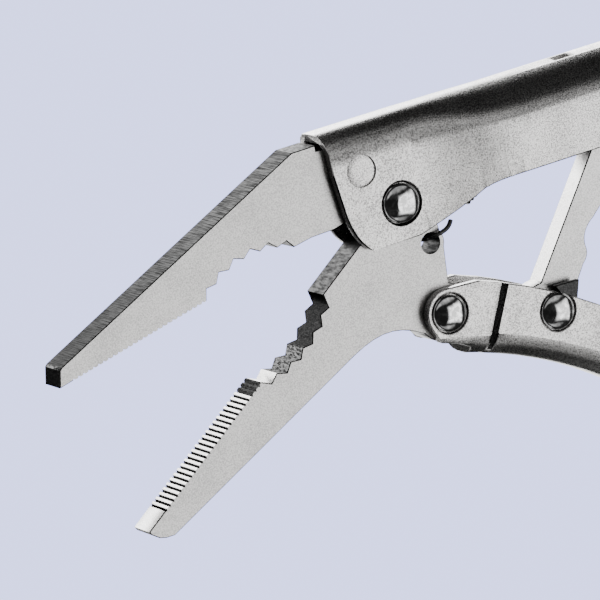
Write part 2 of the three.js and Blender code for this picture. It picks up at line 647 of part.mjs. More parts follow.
const tool = new THREE.Group();
tool.add(
  part('upper_handle', upperHandle(), HANDLE_ZINC),
  part('fixed_jaw', fixedJaw(), JAW_STEEL),
  part('fixed_jaw_pin', jawPin(), HANDLE_ZINC),
  part('jaw_pivot_rivet', pivotRivet, RIVET_STEEL),
  part('lower_jaw', lowerJaw(), JAW_STEEL),
  part('lower_handle', lowerHandle(), HANDLE_ZINC),
  part('handle_rivet', handleRivet, RIVET_STEEL),
  part('toggle_link', toggleLink(), LINK_STEEL),
  part('link_rivet', linkRivet, RIVET_STEEL),
  part('release_lever', releaseLever(), DARK_STEEL),
  part('lever_rivet', leverRivet, RIVET_STEEL),
  part('adjusting_spindle', adjustingSpindle(), SPINDLE_STEEL),
  part('adjusting_knob', adjustingKnob(), SPINDLE_STEEL),
  part('tension_spring', tensionSpring(), SPRING_STEEL),
);

const box = new THREE.Box3().setFromObject(tool);
const middle = box.getCenter(new THREE.Vector3());
tool.position.set(-middle.x, -middle.y, -box.min.z);
tool.updateMatrixWorld(true);

export default tool;
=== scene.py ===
# %% [markdown]
# # Long-nose locking pliers, lying open
# The measured model is loaded first and never changed. Each piece below stands for
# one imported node, so it can only be as big as that node, but it gets the rounded
# edges, threads, flutes and surface finish that make steel look like steel.

# %% The fixed frame
import math

import bpy
from mathutils import Matrix, Vector


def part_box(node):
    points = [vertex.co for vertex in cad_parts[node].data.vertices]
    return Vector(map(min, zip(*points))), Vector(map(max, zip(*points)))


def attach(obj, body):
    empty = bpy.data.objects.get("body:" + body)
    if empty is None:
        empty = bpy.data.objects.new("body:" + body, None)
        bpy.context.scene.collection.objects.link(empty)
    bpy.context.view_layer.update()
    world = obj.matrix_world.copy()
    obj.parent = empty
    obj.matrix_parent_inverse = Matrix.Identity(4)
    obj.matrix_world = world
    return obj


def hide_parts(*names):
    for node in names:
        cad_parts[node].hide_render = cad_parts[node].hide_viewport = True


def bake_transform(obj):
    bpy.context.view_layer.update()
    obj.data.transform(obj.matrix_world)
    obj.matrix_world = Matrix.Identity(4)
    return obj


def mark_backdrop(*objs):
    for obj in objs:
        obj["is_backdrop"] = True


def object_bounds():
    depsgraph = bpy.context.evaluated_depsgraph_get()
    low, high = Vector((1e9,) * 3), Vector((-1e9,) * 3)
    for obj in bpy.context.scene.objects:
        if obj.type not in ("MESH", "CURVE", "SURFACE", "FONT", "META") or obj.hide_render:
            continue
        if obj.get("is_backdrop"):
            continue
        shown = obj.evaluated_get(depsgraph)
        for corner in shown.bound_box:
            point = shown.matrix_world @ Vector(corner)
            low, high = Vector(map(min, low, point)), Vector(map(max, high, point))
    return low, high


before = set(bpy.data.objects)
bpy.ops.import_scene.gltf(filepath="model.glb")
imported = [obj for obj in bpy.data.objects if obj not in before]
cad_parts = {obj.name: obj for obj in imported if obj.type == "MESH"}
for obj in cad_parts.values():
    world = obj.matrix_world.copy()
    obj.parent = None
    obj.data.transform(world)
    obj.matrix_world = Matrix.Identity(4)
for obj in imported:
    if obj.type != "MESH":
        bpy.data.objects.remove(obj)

cad_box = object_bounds()
MM = 0.001
print("packed nodes:", ", ".join(sorted(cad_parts)))

# %% [markdown]
# ## Where things are
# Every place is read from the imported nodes: the middle of a rivet is the axis that it
# makes. A drawing of the tool, with the jaw pivot at zero and millimetres as its unit,
# is then easy to follow, and `place` turns a point of that drawing into a real one.

# %% Axes of the tool
def middle_of(node):
    low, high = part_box(node)
    return (low + high) / 2


JAW_PIVOT = middle_of("jaw_pivot_rivet")


def place(x, y, z=0.0):
    return JAW_PIVOT + Vector((x, y, z)) * MM


print("jaw pivot at", [round(value / MM, 2) for value in JAW_PIVOT], "mm")

# %% [markdown]
# ## Camera
# A long lens from well away keeps the edges nearly parallel, as in a catalogue. The
# camera's own axes are written down as three directions, which says exactly how it is
# turned about its line of sight. That is easier to check than three angles.

# %% Camera
RIGHT = Vector((0.85922, -0.19957, 0.47107))
UP = Vector((0.28550, 0.95111, -0.11780))
TOWARDS_CAMERA = Vector((-0.42453, 0.23571, 0.87420))
DISTANCE = 0.8
looking_at = place(-19.88, -11.61)
camera = bpy.data.objects.new("camera", bpy.data.cameras.new("camera"))
bpy.context.scene.collection.objects.link(camera)
camera.data.lens = 288
camera.data.sensor_width = 36
camera.data.clip_start = 0.01
camera.matrix_world = Matrix.Translation(looking_at + TOWARDS_CAMERA * DISTANCE) @ Matrix(
    (RIGHT, UP, TOWARDS_CAMERA)).transposed().to_4x4()
bpy.context.scene.camera = camera
print("camera", [round(value, 3) for value in camera.matrix_world.translation], "m")

# %% [markdown]
# ## Shader maths
# A material is a graph of nodes, and maths in it is hard to read as wiring. So one
# small class wraps a socket and lets Python's own operators add the Math nodes, and
# one method adds every other node: first its settings, then its sockets.

# %% Sockets that do arithmetic
class Socket:
    """One output of a node. Arithmetic on it adds Math nodes."""

    def __init__(self, recipe, link):
        self.recipe = recipe
        self.link = link

    def maths(self, operation, *values):
        settings = {"operation": operation}
        return self.recipe.node("ShaderNodeMath", settings, dict(enumerate(values)))

    def __add__(self, other):
        return self.maths("ADD", self, other)

    def __sub__(self, other):
        return self.maths("SUBTRACT", self, other)

    def __rsub__(self, other):
        return self.maths("SUBTRACT", other, self)

    def __mul__(self, other):
        return self.maths("MULTIPLY", self, other)

    __radd__ = __add__
    __rmul__ = __mul__


# %% Recipes for materials
class Recipe:
    """The node tree of one material, or of the world."""

    def __init__(self, owner):
        owner.use_nodes = True
        self.tree = owner.node_tree
        self.tree.nodes.clear()

    def node(self, kind, settings=None, sockets=None, output=0):
        made = self.tree.nodes.new(kind)
        for name, value in (settings or {}).items():
            setattr(made, name, value)
        for name, value in (sockets or {}).items():
            if isinstance(value, Socket):
                self.tree.links.new(value.link, made.inputs[name])
            else:
                made.inputs[name].default_value = value
        return Socket(self, made.outputs[output]) if len(made.outputs) else made

    def between(self, value, start, end):
        """0 before start, 1 after end, smooth in between."""
        return self.node("ShaderNodeMapRange", {"interpolation_type": "SMOOTHSTEP"},
                         {"Value": value, "From Min": start, "From Max": end})

    def mix(self, share, first, second):
        """A colour that goes from first to second as share goes from 0 to 1."""
        return self.node("ShaderNodeMix", {"data_type": "RGBA"}, {
            0: share,
            6: first if isinstance(first, Socket) else (*first, 1),
            7: second if isinstance(second, Socket) else (*second, 1)}, 2)

    def noise(self, coordinates, scale, detail=2.0, roughness=0.5):
        return self.node("ShaderNodeTexNoise", None, {
            "Vector": coordinates, "Scale": scale, "Detail": detail, "Roughness": roughness})

    def point(self, turn=0.0, stretch=(1, 1, 1)):
        """The point in the tool's own frame, turned about Z and then stretched."""
        point = self.node("ShaderNodeTexCoord", None, None, "Object")
        turned = self.node("ShaderNodeMapping", None, {
            "Vector": point, "Rotation": (0, 0, turn)})
        return self.node("ShaderNodeMapping", None, {"Vector": turned, "Scale": stretch})

    def metal(self, colour, roughness, height, strength, depth, **constants):
        """A bare or plated metal, with height as its grain."""
        bump = self.node("ShaderNodeBump", None, {
            "Strength": strength, "Distance": depth, "Height": height})
        shader = self.node("ShaderNodeBsdfPrincipled", None, {
            "Metallic": 1.0, "Base Color": colour, "Roughness": roughness,
            "Normal": bump, **constants})
        self.node("ShaderNodeOutputMaterial", None, {"Surface": shader})


materials = {}


def recipe_for(name):
    materials[name] = bpy.data.materials.new(name)
    return Recipe(materials[name])


print("shader helpers ready")

# %% [markdown]
# ## Plated sheet
# The handles are pressed from sheet and then zinc plated, which leaves a satin skin
# with a fine sandy grain. A flat grey would look like plastic: what makes it metal is
# that the grain tilts the reflection a little from place to place. So one fine noise
# feeds the bump, the roughness and the colour. The fixed handle's cheeks roll over into
# its ridge, and `roll` adds that slow turn of the surface to the bump, which gives the
# dark band beside the ridge.

# %% Zinc-plated sheet
def zinc(name, dark, light, roughness, grain_size, depth, roll=0.0):
    recipe = recipe_for(name)
    point = recipe.point()
    grain = recipe.noise(point, 1 / grain_size, 3.0, 0.65)
    cloud = recipe.noise(point, 160, 2.0)
    share = recipe.between(grain * 0.85 + cloud * 0.15, 0.36, 0.62)
    height = grain * depth
    if roll:
        north = recipe.node("ShaderNodeSeparateXYZ", None, {"Vector": point}, "Y")
        height = height + recipe.between(north, ROLL_START, ROLL_END) * roll
    recipe.metal(recipe.mix(share, dark, light), grain * 0.16 + roughness,
                 height, 1.0, 1.0)


ROLL_START = JAW_PIVOT.y + 8.4 * MM
ROLL_END = JAW_PIVOT.y + 15.0 * MM
for name, roll in (("zinc_sheet", 0.0), ("zinc_fold", -1.5 * MM)):
    zinc(name, (0.17, 0.167, 0.165), (0.60, 0.59, 0.58), 0.20, 0.24 * MM, 0.034 * MM, roll)
zinc("jaw_skin", (0.27, 0.266, 0.263), (0.48, 0.473, 0.465), 0.26, 0.26 * MM, 0.020 * MM)
zinc("link_skin", (0.28, 0.277, 0.274), (0.50, 0.493, 0.487), 0.24, 0.26 * MM, 0.018 * MM)
print(len(materials), "finishes")

# %% [markdown]
# ## Ground and cut edges
# The top of the fixed jaw is ground across its width, which leaves fine lines, darker
# towards the tip. Lines are noise that is squeezed along the edge and left long across
# it, so the pattern has to be turned to lie along that edge first. A dark metal would
# turn bright at a low angle, as all metals do, so `DULL` halves that brightening.

# %% Ground edge of the fixed jaw
GROUND_SLOPE = math.radians(24.9)
LINES_PER_METRE = 7000
DULL = {"Specular Tint": (0.5, 0.5, 0.5, 1)}
recipe = recipe_for("ground_edge")
lines = recipe.noise(recipe.point(-GROUND_SLOPE, (1, 1, 0.02)),
                     LINES_PER_METRE, 2.0, 0.6)
blotch = recipe.noise(recipe.point(), 700, 2.0)
east = recipe.node("ShaderNodeSeparateXYZ", None, {"Vector": recipe.point()}, "X")
from_tip = recipe.between(east, JAW_PIVOT.x - 66 * MM, JAW_PIVOT.x - 20 * MM)
bright = recipe.between(lines * 0.85 + blotch * 0.15, 0.40, 0.62)
lighter = recipe.mix(from_tip, (0.016, 0.016, 0.016), (0.045, 0.045, 0.045))
recipe.metal(recipe.mix(bright, (0.0012, 0.0012, 0.0012), lighter),
             bright * -0.1 + 0.36, lines, 0.5, 0.03 * MM, **DULL)
print("ground edge with about", LINES_PER_METRE * MM, "lines per mm")

# %% [markdown]
# Sawn, scraped and pressed edges are rough, and look darker than the plated faces. One
# recipe of dark and light specks serves them all, with other greys for each. The darkest
# greys are painted shade: along the eased rims, on the handle's step, deep in the bite,
# on the jaw's tip face and in the grooves between the fine teeth.

# %% Cut edges
def speckled(name, dark, light, start, end, stretch, size):
    recipe = recipe_for(name)
    speckle = recipe.noise(recipe.point(0, (1, 1, stretch)), 1 / size, 2.0, 0.7)
    bright = recipe.between(speckle, start, end)
    recipe.metal(recipe.mix(bright, (dark, dark, dark), (light, light, light)),
                 bright * -0.1 + 0.38, speckle, 0.4, 0.03 * MM, **DULL)


speckled("cut_edge", 0.004, 0.060, 0.38, 0.62, 0.35, 0.30 * MM)
speckled("scraped_edge", 0.012, 0.050, 0.30, 0.70, 0.3, 0.55 * MM)
# Painted shade: the darkest grey, for the deep oval bite and the jaw's tip face.
speckled("painted_shade_edge", 0.0015, 0.022, 0.42, 0.70, 0.8, 0.22 * MM)
# Painted shade: a dark grey for the eased rims, where the edges turn into shadow.
speckled("painted_shade_rim", 0.004, 0.050, 0.40, 0.70, 0.8, 0.22 * MM)
# Painted shade: almost black, for the grooves between the fine teeth.
speckled("painted_shade_groove", 0.0005, 0.004, 0.40, 0.70, 0.8, 0.22 * MM)
print(len(materials), "finishes")

# %% [markdown]
# ## Rivets, lever, spindle and spring
# The rivet heads are polished, so they mirror the studio: mostly its dark, with one
# bright patch. The spring is phosphated black, the lever is painted black as painted
# shade where it lies between the link and the cheek, and the spindle is turned bright.
# The dark ones need little more than a low colour and a touch of grain.

# %% Polished, black and turned steels
def smooth_steel(name, colour, roughness, grain_size, strength):
    recipe = recipe_for(name)
    grain = recipe.noise(recipe.point(), 1 / grain_size, 2.0)
    lighter = tuple(value * 2.2 for value in colour)
    recipe.metal(recipe.mix(recipe.between(grain, 0.4, 0.7), colour, lighter),
                 grain * 0.1 + roughness, grain, strength, 0.02 * MM)


smooth_steel("polished_steel", (0.34, 0.34, 0.34), 0.03, 0.9 * MM, 0.02)
# Painted shade: black for the lever, which lies in shadow between link and cheek.
smooth_steel("painted_shade_black", (0.020, 0.020, 0.020), 0.34, 0.25 * MM, 0.3)
smooth_steel("spring_black", (0.022, 0.022, 0.022), 0.20, 0.4 * MM, 0.15)
zinc("turned_steel", (0.48, 0.47, 0.46), (0.66, 0.65, 0.64), 0.18, 0.28 * MM, 0.006 * MM)
print("finishes:", ", ".join(materials))

# %% [markdown]
# ## Working by hand in code
# Blender's operators act on whatever is selected. So every step clears the selection,
# makes one piece active, and picks faces or edges by where they are. Large flat faces
# are shaded flat: next to a rounded edge, smooth shading would bend their reflections.

# %% Picking and finishing
def activate(piece):
    if bpy.context.object and bpy.context.object.mode != "OBJECT":
        bpy.ops.object.mode_set(mode="OBJECT")
    bpy.ops.object.select_all(action="DESELECT")
    piece.select_set(True)
    bpy.context.view_layer.objects.active = piece


def pick(piece, kind, wanted):
    """Opens the piece in edit mode with only the wanted faces or edges selected."""
    activate(piece)
    bpy.ops.object.mode_set(mode="EDIT")
    bpy.ops.mesh.select_mode(type=kind)
    bpy.ops.mesh.select_all(action="DESELECT")
    bpy.ops.object.mode_set(mode="OBJECT")
    for item in (piece.data.polygons if kind == "FACE" else piece.data.edges):
        item.select = wanted(item)
    bpy.ops.object.mode_set(mode="EDIT")


def everything(_):
    return True


def modifier(piece, kind, **settings):
    activate(piece)
    made = piece.modifiers.new(kind.lower(), kind)
    for name, value in settings.items():
        setattr(made, name, value)
    bpy.ops.object.modifier_apply(modifier=made.name)


LARGE_FACE = 2 * MM * MM
LARGE_WALL = 24 * MM * MM


def settle(piece, smooth, flat_faces=False):
    """Puts the place into the mesh and smooths all but the sharp edges and flat faces."""
    activate(piece)
    bpy.ops.object.transform_apply(location=True, rotation=True, scale=True)
    bpy.ops.object.shade_smooth_by_angle(angle=math.radians(smooth))
    if flat_faces:
        pick(piece, "FACE", lambda face: (
            abs(face.normal.z) > 0.99999 and face.area > LARGE_FACE
            or abs(face.normal.z) < 0.0001 and face.area > LARGE_WALL))
        bpy.ops.mesh.faces_shade_flat()
        bpy.ops.object.mode_set(mode="OBJECT")


def stand_for(piece, body, node):
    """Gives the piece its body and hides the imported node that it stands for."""
    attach(piece, body)
    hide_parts(node)
    print(piece.name, "rides on", body, "with", len(piece.data.polygons), "faces")


def shell_of(node, name, finish):
    """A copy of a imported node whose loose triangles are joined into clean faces."""
    piece = bpy.data.objects.new(name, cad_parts[node].data.copy())
    bpy.context.scene.collection.objects.link(piece)
    piece.data.materials.clear()
    piece.data.materials.append(materials[finish])
    pick(piece, "FACE", everything)
    bpy.ops.mesh.remove_doubles(threshold=0.002 * MM)
    bpy.ops.mesh.dissolve_limited(angle_limit=math.radians(0.4))
    bpy.ops.object.mode_set(mode="OBJECT")
    return piece


def ease_edges(piece, width, sharpness, kept):
    """Rounds the edges sharper than sharpness degrees that kept says yes to."""
    pick(piece, "EDGE", lambda edge: False)
    bpy.ops.mesh.edges_select_sharp(sharpness=math.radians(sharpness))
    bpy.ops.object.mode_set(mode="OBJECT")
    sharp = {edge.index for edge in piece.data.edges if edge.select}
    points = piece.data.vertices
    pick(piece, "EDGE", lambda edge: edge.index in sharp and kept(
        *[(points[corner].co - JAW_PIVOT) / MM for corner in edge.vertices]))
    bpy.ops.transform.edge_bevelweight(value=1.0)
    bpy.ops.object.mode_set(mode="OBJECT")
    modifier(piece, "BEVEL", width=width * MM, segments=2, limit_method="WEIGHT",
             use_clamp_overlap=False, miter_outer="MITER_ARC")
    pick(piece, "EDGE", everything)
    bpy.ops.transform.edge_bevelweight(value=-1.0)
    bpy.ops.object.mode_set(mode="OBJECT")


def paint_faces(piece, finish, wanted):
    """Gives the faces that wanted picks, by middle and normal, another finish."""
    piece.data.materials.append(materials[finish])
    number = len(piece.data.materials) - 1
    count = 0
    for face in piece.data.polygons:
        if wanted((face.center - JAW_PIVOT) / MM, face.normal):
            face.material_index = number
            count += 1
    print(piece.name, count, "faces in", finish)


def on_edge(_, normal):
    """Faces that slant between a flat side and a wall: the eased edges."""
    return 0.05 < abs(normal.z) < 0.94


print("modelling helpers ready")

# %% [markdown]
# ## Folded handles
# A handle is one sheet folded round a bend, so its outer edge is round and its rims
# are cut square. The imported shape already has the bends; what is missing is the small
# burr-free radius along the cut rims, which draws the thin line that the eye reads as
# the thickness of the sheet. A bevel on the sharp edges alone gives that. The edge of
# the flush pin's hole stays sharp, because the pin covers it.

# %% Fixed handle
SHEET_EASE = 0.22
PIN_AT = (middle_of("fixed_jaw_pin") - JAW_PIVOT).xy / MM
FLARE_FROM = 2.0


def on_handle_rim(a, b):
    return (a - b).length > 0.25 and (a.xy - PIN_AT).length > 3.2


upper_handle = shell_of("upper_handle", "fixed_handle_sheet", "zinc_fold")
ease_edges(upper_handle, SHEET_EASE, 40, on_handle_rim)
# Painted shade on the eased rims below the ridge.
paint_faces(upper_handle, "painted_shade_rim", lambda at, normal: (
    on_edge(at, normal) and at.y < 6.5 and (at.x < FLARE_FROM or at.y < -0.4)))
settle(upper_handle, 32, flat_faces=True)
stand_for(upper_handle, "fixed_handle", "upper_handle")

# %% [markdown]
# The lower handle steps outwards behind its ears, where the press has drawn the sheet.
# The bevel leaves the two bends of that step alone, so that the slope between them
# stays a crisp line across the handle. The slope is also painted dark, as painted shade.

# %% Lower handle
STEP_START, STEP_END = 11, 18


def on_step(a, b):
    return (STEP_START < min(a.x, b.x) and max(a.x, b.x) < STEP_END
            and abs(a.z - b.z) < 0.02)


lower_handle = shell_of("lower_handle", "lower_handle_sheet", "zinc_sheet")
ease_edges(lower_handle, SHEET_EASE, 40, lambda a, b: (
    not on_step(a, b) and (a - b).length > 0.25))
# Painted shade on the slope of the step.
paint_faces(lower_handle, "painted_shade_rim", lambda at, normal: (
    STEP_START < at.x < STEP_END and normal.x < -0.4 and abs(normal.z) > 0.3))
settle(lower_handle, 32, flat_faces=True)
stand_for(lower_handle, "handle", "lower_handle")

# %% [markdown]
# ## Jaws
# A jaw is a thick forged plate, sawn and ground along its outline. Its teeth are cut
# last and stay crisp, so only the long outline edges are eased. The finishes differ
# from face to face, and the faces are told apart by where they look and where they lie.
# The darkest greys, on the eased rims and on the fixed jaw's tip face, are painted shade.

# %% Fixed jaw
JAW_EASE = 0.16
ground_normal = Vector((-math.sin(GROUND_SLOPE), math.cos(GROUND_SLOPE), 0))


def on_rim(a, b):
    flat = abs(a.z - b.z) < 0.01
    return flat and (a - b).length > 0.55


fixed_jaw = shell_of("fixed_jaw", "fixed_jaw_forging", "jaw_skin")
ease_edges(fixed_jaw, JAW_EASE, 30, on_rim)
paint_faces(fixed_jaw, "cut_edge", lambda at, normal: abs(normal.z) < 0.3)
# Painted shade on the eased rims.
paint_faces(fixed_jaw, "painted_shade_rim", on_edge)
paint_faces(fixed_jaw, "ground_edge", lambda at, normal: normal.dot(ground_normal) > 0.97)
# Painted shade on the front face of the tip.
paint_faces(fixed_jaw, "painted_shade_edge", lambda at, normal: normal.x < -0.9 and at.x < -60)
settle(fixed_jaw, 30, flat_faces=True)
stand_for(fixed_jaw, "fixed_handle", "fixed_jaw")

# %% [markdown]
# The lower jaw shows its grip: the flanks of the oval bite, from scraped near the pivot
# to painted shade deep in the oval, and the grooves between the fine teeth, which are
# painted shade too. All lie along one slope, so a place is given by how far it is towards
# the tip and how far off the grip line.

# %% Lower jaw
GRIP_SLOPE = math.radians(35.3)
FINE_TEETH_FROM = 41
SPRING_EYE = (4.8, -8.6)
to_tip = Vector((-math.cos(GRIP_SLOPE), -math.sin(GRIP_SLOPE), 0))
grip_normal = Vector((-math.sin(GRIP_SLOPE), math.cos(GRIP_SLOPE), 0))


def bite_flank(near, far):
    return lambda at, normal: (abs(normal.z) < 0.3 and near < at.dot(to_tip) < far
                               and at.dot(grip_normal) > -4)


# The groove flanks between the fine teeth, which get painted shade.
def painted_shade_groove(at, normal):
    return (abs(normal.z) < 0.3 and at.dot(to_tip) > FINE_TEETH_FROM
            and 0.2 < normal.dot(grip_normal) < 0.98 and at.dot(grip_normal) > -0.5)


lower_jaw = shell_of("lower_jaw", "lower_jaw_forging", "jaw_skin")
ease_edges(lower_jaw, JAW_EASE, 30, on_rim)
# Painted shade on the eased rims.
paint_faces(lower_jaw, "painted_shade_rim", on_edge)
# Painted shade deep in the oval bite.
paint_faces(lower_jaw, "painted_shade_edge", bite_flank(17.0, 29.5))
paint_faces(lower_jaw, "cut_edge", bite_flank(29.5, 35.5))
paint_faces(lower_jaw, "scraped_edge", bite_flank(0.0, 17.0))
paint_faces(lower_jaw, "scraped_edge", lambda at, normal: (
    abs(normal.z) < 0.3 and (at.xy - Vector(SPRING_EYE)).length < 2.0))
# Painted shade in the grooves between the fine teeth.
paint_faces(lower_jaw, "painted_shade_groove", painted_shade_groove)
# Painted shade in the notch before the fine teeth.
paint_faces(lower_jaw, "painted_shade_edge", bite_flank(38.2, 41.2))
settle(lower_jaw, 30, flat_faces=True)
stand_for(lower_jaw, "jaw", "lower_jaw")

# %% [markdown]
# ## Link and release lever
# The link is blanked from plate and the lever is a small folded pressing. Blanked
# parts are often tumbled in a drum, which rounds every edge a little, as a bevel does.

# %% Link and lever
link = shell_of("toggle_link", "toggle_link_blank", "link_skin")
ease_edges(link, 0.18, 40, lambda a, b: True)
# Painted shade on the eased rims.
paint_faces(link, "painted_shade_rim", on_edge)
settle(link, 30, flat_faces=True)
stand_for(link, "link", "toggle_link")

# The lever is painted black, as painted shade between the link and the cheek.
lever = shell_of("release_lever", "release_lever_pressing", "painted_shade_black")
ease_edges(lever, 0.15, 40, lambda a, b: (a - b).length > 0.3)
settle(lever, 32, flat_faces=True)
stand_for(lever, "lever", "release_lever")

# %% [markdown]
# ## Rivets
# A rivet is a pin with a crowned head on each side. The crown is made as on a lathe:
# the flat end of a cylinder is inset again and again, each ring a little further in
# and a little higher, so that the rings follow a round profile. A steep lip at the rim
# is followed by a low arch; `flat` is the share of the radius that is flattened.

# %% Rivets
CROWN = 1.1
RINGS = 14
LIP_WIDTH, LIP_HEIGHT = 0.10, 0.22
SHANK_REACH = 2.55


def rivet(node, name, body, shank, flat=0.0):
    low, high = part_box(node)
    head = (high.x - low.x) / 2
    rim = (high.z - low.z) / 2 - CROWN * MM
    bpy.ops.mesh.primitive_cylinder_add(
        vertices=72, radius=head, depth=2 * rim, location=(low + high) / 2)
    piece = bpy.context.object
    piece.name = name
    piece.data.materials.append(materials["polished_steel"])
    for side in (1, -1):
        pick(piece, "FACE", lambda face: face.normal.z * side > 0.9)
        reached = (head, 0.0)
        for ring in range(1, RINGS):
            radius = head * (1 - ring / RINGS)
            lip = math.sin(min(1.0, (1 - radius / head) / LIP_WIDTH) * math.pi / 2)
            arch = 1 - max(radius / head, flat) ** 2
            rise = CROWN * MM * (LIP_HEIGHT * lip + (1 - LIP_HEIGHT) * arch)
            bpy.ops.mesh.inset(thickness=reached[0] - radius, depth=rise - reached[1])
            reached = (radius, rise)
    pick(piece, "EDGE", lambda edge: abs(
        piece.data.vertices[edge.vertices[0]].co.z
        - piece.data.vertices[edge.vertices[1]].co.z) > rim)
    bpy.ops.mesh.subdivide(number_cuts=2)
    bpy.ops.object.mode_set(mode="OBJECT")
    for corner in piece.data.vertices:
        if abs(corner.co.z) < rim * 0.5:
            corner.co.x *= shank * MM / head
            corner.co.y *= shank * MM / head
            corner.co.z *= SHANK_REACH
    settle(piece, 50)
    stand_for(piece, body, node)


rivet("jaw_pivot_rivet", "jaw_pivot_rivet_polished", "fixed_handle", 2.75, flat=0.36)
rivet("handle_rivet", "handle_rivet_polished", "handle", 2.4)
rivet("link_rivet", "link_rivet_polished", "handle", 2.4)
rivet("lever_rivet", "lever_rivet_polished", "handle", 1.6)

# %% [markdown]
# ## Flush pin
# The fixed jaw is held by a pin that is staked flush, so all that shows is a shallow
# round button in the cheek. Three insets of a cylinder's end make its stepped rim.

# %% Flush pin
low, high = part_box("fixed_jaw_pin")
bpy.ops.mesh.primitive_cylinder_add(
    vertices=64, radius=(high.x - low.x) / 2 + 0.28 * MM, depth=high.z - low.z,
    location=(low + high) / 2)
pin = bpy.context.object
pin.name = "flush_pin"
pin.data.materials.append(materials["zinc_sheet"])
for side in (1, -1):
    pick(pin, "FACE", lambda face: face.normal.z * side > 0.9)
    for inwards, upwards in ((0.20, 0.05), (0.55, 0.10), (0.50, 0.01)):
        bpy.ops.mesh.inset(thickness=inwards * MM, depth=upwards * MM)
bpy.ops.object.mode_set(mode="OBJECT")
settle(pin, 50)
stand_for(pin, "fixed_handle", "fixed_jaw_pin")

# %% [markdown]
# ## Spindle and knob
# The spindle's thread is one small V turned round and moved along at the same time:
# the Screw modifier does exactly that to an outline, once per turn of the thread.
# Its plain core and its pointed tip are one cylinder, eased at the tip end only.

# %% Lines to sweep
def line_through(name, points):
    """A piece that is one open line of straight edges through points in millimetres."""
    bpy.ops.mesh.primitive_plane_add(size=1)
    piece = bpy.context.object
    piece.name = name
    pick(piece, "FACE", everything)
    bpy.ops.mesh.select_mode(type="VERT")
    bpy.ops.mesh.merge(type="CENTER")
    bpy.ops.mesh.select_all(action="SELECT")
    for start, end in zip(points, points[1:]):
        bpy.ops.mesh.extrude_region_move(
            TRANSFORM_OT_translate={"value": (Vector(end) - Vector(start)) * MM})
    bpy.ops.mesh.select_all(action="SELECT")
    bpy.ops.transform.translate(value=Vector(points[0]) * MM)
    bpy.ops.object.mode_set(mode="OBJECT")
    return piece


def join(name, *pieces):
    activate(pieces[0])
    for piece in pieces:
        piece.select_set(True)
    bpy.ops.object.join()
    pieces[0].name = name
    return pieces[0]


def outward(piece):
    """Joins doubled corners and turns every face to look out."""
    pick(piece, "FACE", everything)
    bpy.ops.mesh.remove_doubles(threshold=0.004 * MM)
    bpy.ops.mesh.normals_make_consistent(inside=False)
    bpy.ops.object.mode_set(mode="OBJECT")


print("sweeping helpers ready")

# %% Spindle
PITCH = 1.25
TIP_LENGTH = 1.6
PLAIN_LENGTH = 4.0
THREAD_DEPTH, CREST_EASE = 0.65, 0.05
low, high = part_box("adjusting_spindle")
spindle_radius = (high.y - low.y) / 2 / MM
spindle_length = (high.x - low.x) / MM
turns = int((spindle_length - PLAIN_LENGTH) / PITCH)
root, crest = spindle_radius - THREAD_DEPTH, spindle_radius - CREST_EASE
thread = line_through("thread", [
    (root, 0, 0), (crest, 0, 0.5), (crest, 0, 0.75), (root, 0, PITCH)])
modifier(thread, "SCREW", angle=2 * math.pi, screw_offset=PITCH * MM, iterations=turns,
         steps=32, render_steps=32, axis="Z", use_merge_vertices=True,
         merge_threshold=0.002 * MM)
outward(thread)
bpy.ops.mesh.primitive_cylinder_add(
    vertices=48, radius=(root + 0.02) * MM, depth=spindle_length * MM,
    location=(0, 0, spindle_length * MM / 2))
core = bpy.context.object
pick(core, "FACE", lambda face: face.normal.z < -0.9)
bpy.ops.mesh.inset(thickness=0.9 * MM, depth=0)
bpy.ops.mesh.inset(thickness=1.2 * MM, depth=-0.8 * MM)
bpy.ops.object.mode_set(mode="OBJECT")
thread.location.z = TIP_LENGTH * MM
activate(thread)
bpy.ops.object.transform_apply(location=True, rotation=True, scale=True)
spindle = join("adjusting_spindle_turned", thread, core)
spindle.data.materials.append(materials["turned_steel"])
spindle.rotation_euler = (0, math.pi / 2, 0)
spindle.location = (low.x, (low.y + high.y) / 2, (low.z + high.z) / 2)
settle(spindle, 25)
stand_for(spindle, "spindle", "adjusting_spindle")

# %% [markdown]
# The knob is a cylinder with a ring of flutes that fingers can turn. Each flute is a
# strip of side faces pushed inwards. Both ends are drawn out twice, narrower each time,
# which rounds them off, and end in a shallow dish.

# %% Knob
FLUTES = 20
low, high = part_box("adjusting_knob")
knob_radius = (high.y - low.y) / 2
knob_length = high.x - low.x
bpy.ops.mesh.primitive_cylinder_add(
    vertices=FLUTES * 6, radius=knob_radius, depth=knob_length - 2.4 * MM)
knob = bpy.context.object
knob.name = "adjusting_knob_fluted"
knob.data.materials.append(materials["turned_steel"])


def in_flute(face):
    turn = math.atan2(face.center.y, face.center.x) / (2 * math.pi) * FLUTES
    return abs(face.normal.z) < 0.1 and turn % 1 < 0.5


pick(knob, "FACE", in_flute)
bpy.ops.mesh.inset(thickness=0.12 * MM, depth=-0.42 * MM)
for side in (1, -1):
    pick(knob, "FACE", lambda face: face.normal.z * side > 0.9 and len(face.vertices) > 8)
    for rise, share in ((0.5, 0.94), (0.7, 0.80)):
        bpy.ops.mesh.extrude_region_move(
            TRANSFORM_OT_translate={"value": (0, 0, side * rise * MM)})
        bpy.ops.transform.resize(value=(share, share, 1))
    bpy.ops.mesh.inset(thickness=0.9 * MM, depth=0)
    bpy.ops.mesh.inset(thickness=0.3 * MM, depth=-0.35 * MM)
bpy.ops.object.mode_set(mode="OBJECT")
knob.rotation_euler = (0, math.pi / 2, 0)
knob.location = (low + high) / 2
settle(knob, 30)
stand_for(knob, "knob", "adjusting_knob")

# %% [markdown]
# ## Return spring
# A tension spring is a close-wound coil with a hook at each end. The coil is a small
# circle swept by the Screw modifier, turn against turn, from near the jaw to near the
# tongue of the fixed handle.

